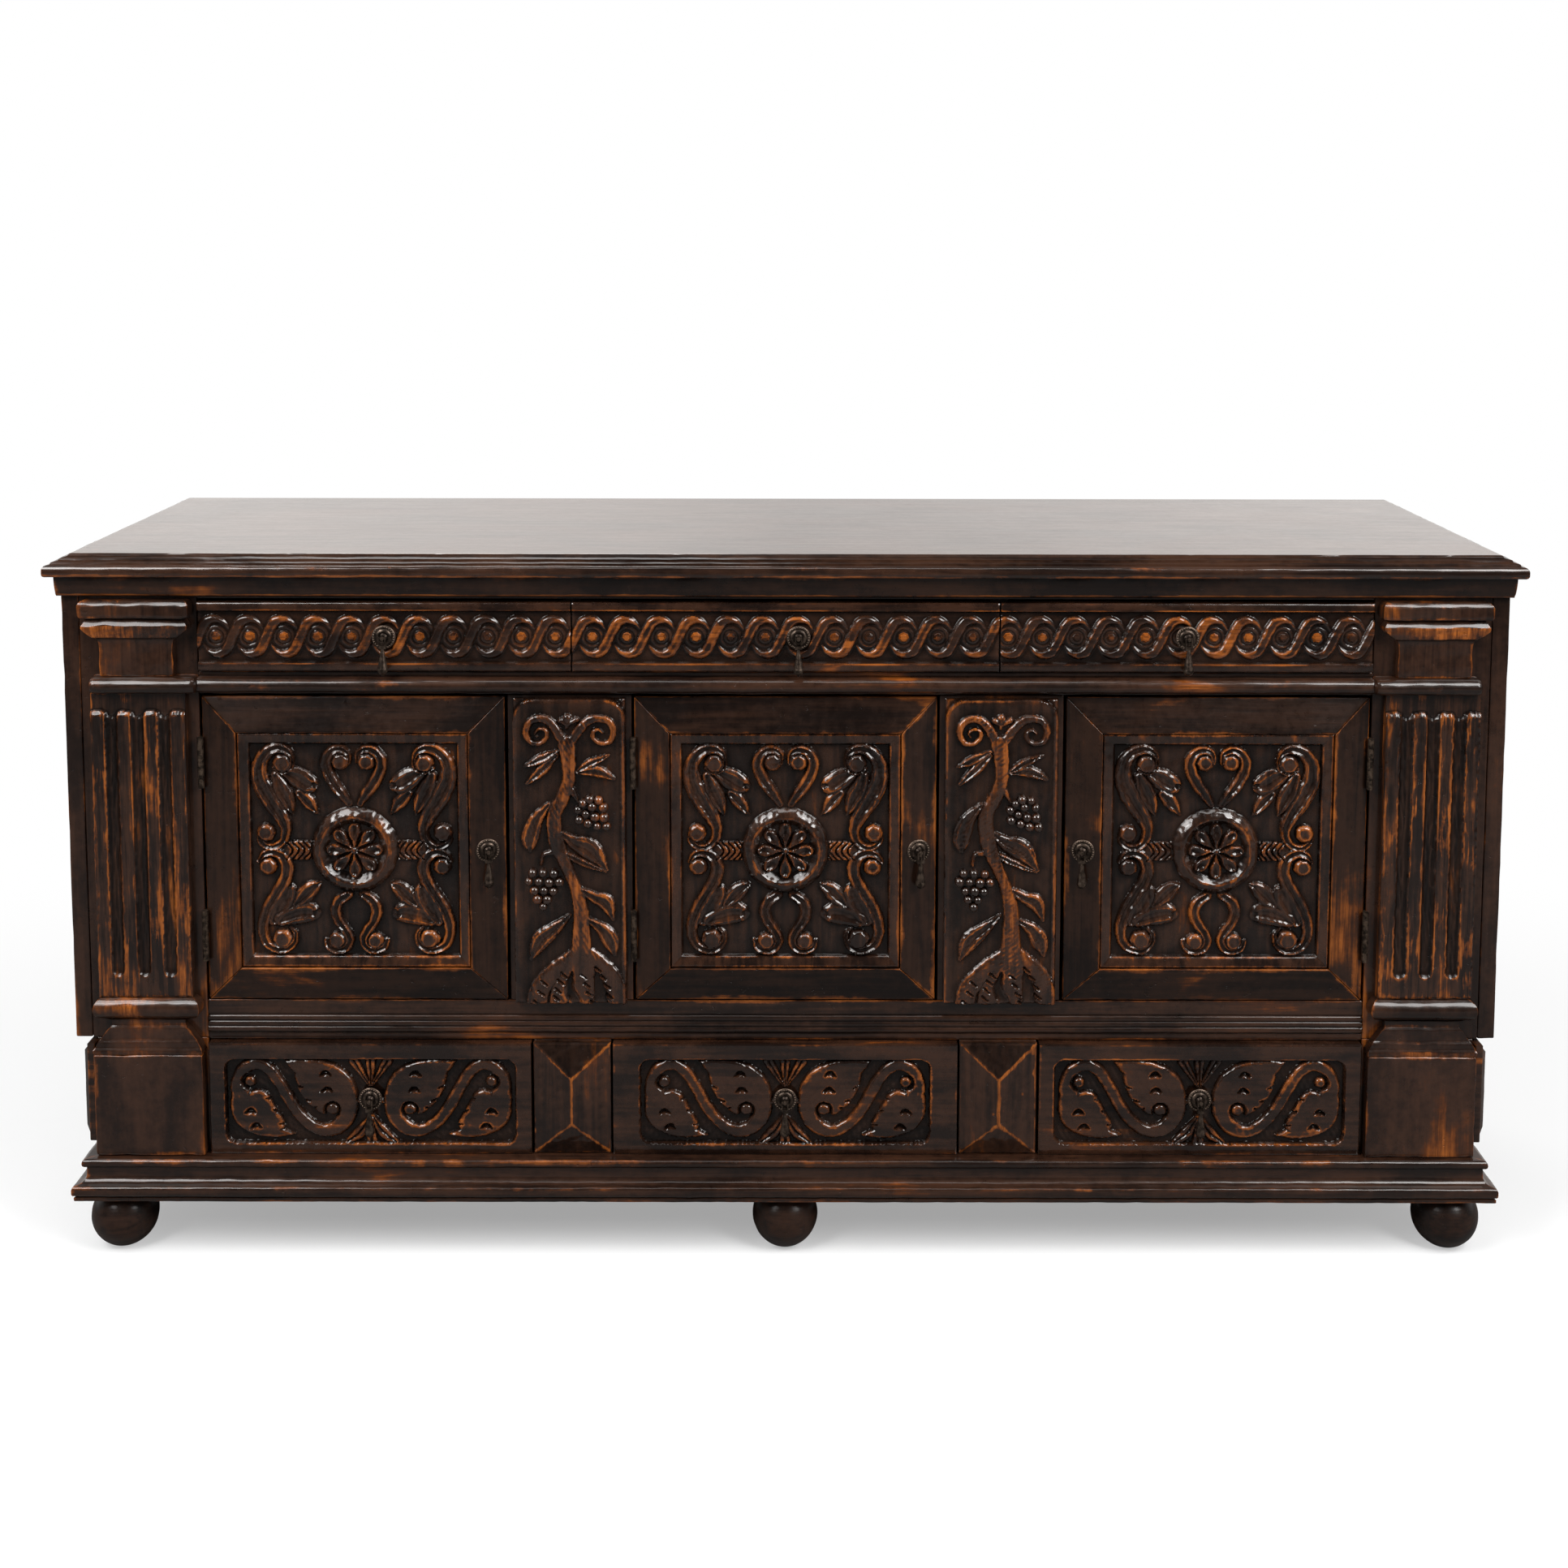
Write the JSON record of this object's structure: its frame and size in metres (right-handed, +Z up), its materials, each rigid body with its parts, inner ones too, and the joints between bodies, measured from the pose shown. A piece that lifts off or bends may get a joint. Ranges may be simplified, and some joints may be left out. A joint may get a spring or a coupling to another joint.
{
  "type": "carved credenza",
  "caption": "Long carved wood credenza with frieze drawers, panelled doors, fluted pilasters, low drawers, moulded base and ball feet.",
  "frame": {"origin": "middle of the footprint on the floor", "axes": "+Z up, +X to the right seen from the front, front faces -Y"},
  "size_m": [1.83, 0.52, 0.9],
  "materials": {
    "carved_wood": "dark stained, worn at the edges, satin",
    "inside_wood": "plain, oiled",
    "dark_bronze": "aged, dark",
    "dark_iron": "aged, dark"
  },
  "bodies": {
    "root": {"top_board": "carved_wood", "fascia_moulding": "carved_wood", "side_panels": "carved_wood", "face_frame": "carved_wood", "torus_rail": "carved_wood", "reeded_mid_rail": "carved_wood", "vine_panels": "carved_wood", "diamond_blocks": "carved_wood", "pilaster_capitals": "carved_wood", "fluted_shafts": "carved_wood", "pilaster_bases": "carved_wood", "pedestals": "carved_wood", "lower_sides": "carved_wood", "base_moulding": "carved_wood", "ball_feet": "carved_wood", "case_decks": "inside_wood", "back_boards": "inside_wood", "partitions": "inside_wood", "shelves": "inside_wood", "guides_and_cleats": "inside_wood", "hinge_frame_halves": "dark_iron"},
    "left_door": {"left_door_frame": "carved_wood", "left_door_panel": "carved_wood", "left_door_hinge_leaves": "dark_iron", "left_door_plate": "dark_bronze"},
    "left_door_pull": {"left_door_drop": "dark_bronze"},
    "middle_door": {"middle_door_frame": "carved_wood", "middle_door_panel": "carved_wood", "middle_door_hinge_leaves": "dark_iron", "middle_door_plate": "dark_bronze"},
    "middle_door_pull": {"middle_door_drop": "dark_bronze"},
    "right_door": {"right_door_frame": "carved_wood", "right_door_panel": "carved_wood", "right_door_hinge_leaves": "dark_iron", "right_door_plate": "dark_bronze"},
    "right_door_pull": {"right_door_drop": "dark_bronze"},
    "upper_left_drawer": {"upper_left_drawer_front": "carved_wood", "upper_left_drawer_box": "inside_wood", "upper_left_drawer_plate": "dark_bronze"},
    "upper_left_drawer_pull": {"upper_left_drawer_drop": "dark_bronze"},
    "upper_middle_drawer": {"upper_middle_drawer_front": "carved_wood", "upper_middle_drawer_box": "inside_wood", "upper_middle_drawer_plate": "dark_bronze"},
    "upper_middle_drawer_pull": {"upper_middle_drawer_drop": "dark_bronze"},
    "upper_right_drawer": {"upper_right_drawer_front": "carved_wood", "upper_right_drawer_box": "inside_wood", "upper_right_drawer_plate": "dark_bronze"},
    "upper_right_drawer_pull": {"upper_right_drawer_drop": "dark_bronze"},
    "lower_left_drawer": {"lower_left_drawer_front": "carved_wood", "lower_left_drawer_box": "inside_wood", "lower_left_drawer_plate": "dark_bronze"},
    "lower_left_drawer_pull": {"lower_left_drawer_drop": "dark_bronze"},
    "lower_middle_drawer": {"lower_middle_drawer_front": "carved_wood", "lower_middle_drawer_box": "inside_wood", "lower_middle_drawer_plate": "dark_bronze"},
    "lower_middle_drawer_pull": {"lower_middle_drawer_drop": "dark_bronze"},
    "lower_right_drawer": {"lower_right_drawer_front": "carved_wood", "lower_right_drawer_box": "inside_wood", "lower_right_drawer_plate": "dark_bronze"},
    "lower_right_drawer_pull": {"lower_right_drawer_drop": "dark_bronze"}
  },
  "joints": [
    {"name": "left_door_swing", "type": "hinge", "parent": "root", "child": "left_door", "pos_m": [-0.7315, -0.226, 0.5245], "axis": [0, 0, -1], "range_deg": [0, 90]},
    {"name": "left_door_drop_swing", "type": "hinge", "parent": "left_door", "child": "left_door_pull", "pos_m": [-0.37118, -0.2367, 0.5245], "axis": [-0.9662, -0.2577, 0], "range_deg": [0, 80]},
    {"name": "middle_door_swing", "type": "hinge", "parent": "root", "child": "middle_door", "pos_m": [-0.191, -0.226, 0.5245], "axis": [0, 0, -1], "range_deg": [0, 110]},
    {"name": "middle_door_drop_swing", "type": "hinge", "parent": "middle_door", "child": "middle_door_pull", "pos_m": [0.16932, -0.2367, 0.5245], "axis": [-0.9662, -0.2577, 0], "range_deg": [0, 80]},
    {"name": "right_door_swing", "type": "hinge", "parent": "root", "child": "right_door", "pos_m": [0.7315, -0.226, 0.5245], "axis": [0, 0, 1], "range_deg": [0, 90]},
    {"name": "right_door_drop_swing", "type": "hinge", "parent": "right_door", "child": "right_door_pull", "pos_m": [0.37118, -0.2367, 0.5245], "axis": [-0.9662, 0.2577, 0], "range_deg": [0, 80]},
    {"name": "upper_left_drawer_slide", "type": "slide", "parent": "root", "child": "upper_left_drawer", "axis": [0, -1, 0], "range_m": [0, 0.3]},
    {"name": "upper_left_drawer_drop_swing", "type": "hinge", "parent": "upper_left_drawer", "child": "upper_left_drawer_pull", "pos_m": [-0.49925, -0.237, 0.79625], "axis": [-1, 0, 0], "range_deg": [0, 80]},
    {"name": "upper_middle_drawer_slide", "type": "slide", "parent": "root", "child": "upper_middle_drawer", "axis": [0, -1, 0], "range_m": [0, 0.3]},
    {"name": "upper_middle_drawer_drop_swing", "type": "hinge", "parent": "upper_middle_drawer", "child": "upper_middle_drawer_pull", "pos_m": [0.016, -0.237, 0.79625], "axis": [-1, 0, 0], "range_deg": [0, 80]},
    {"name": "upper_right_drawer_slide", "type": "slide", "parent": "root", "child": "upper_right_drawer", "axis": [0, -1, 0], "range_m": [0, 0.3]},
    {"name": "upper_right_drawer_drop_swing", "type": "hinge", "parent": "upper_right_drawer", "child": "upper_right_drawer_pull", "pos_m": [0.49925, -0.237, 0.79625], "axis": [-1, 0, 0], "range_deg": [0, 80]},
    {"name": "lower_left_drawer_slide", "type": "slide", "parent": "root", "child": "lower_left_drawer", "axis": [0, -1, 0], "range_m": [0, 0.3]},
    {"name": "lower_left_drawer_drop_swing", "type": "hinge", "parent": "lower_left_drawer", "child": "lower_left_drawer_pull", "pos_m": [-0.52612, -0.241, 0.20125], "axis": [-1, 0, 0], "range_deg": [0, 80]},
    {"name": "lower_middle_drawer_slide", "type": "slide", "parent": "root", "child": "lower_middle_drawer", "axis": [0, -1, 0], "range_m": [0, 0.3]},
    {"name": "lower_middle_drawer_drop_swing", "type": "hinge", "parent": "lower_middle_drawer", "child": "lower_middle_drawer_pull", "pos_m": [0, -0.241, 0.20125], "axis": [-1, 0, 0], "range_deg": [0, 80]},
    {"name": "lower_right_drawer_slide", "type": "slide", "parent": "root", "child": "lower_right_drawer", "axis": [0, -1, 0], "range_m": [0, 0.3]},
    {"name": "lower_right_drawer_drop_swing", "type": "hinge", "parent": "lower_right_drawer", "child": "lower_right_drawer_pull", "pos_m": [0.52612, -0.241, 0.20125], "axis": [-1, 0, 0], "range_deg": [0, 80]}
  ]
}
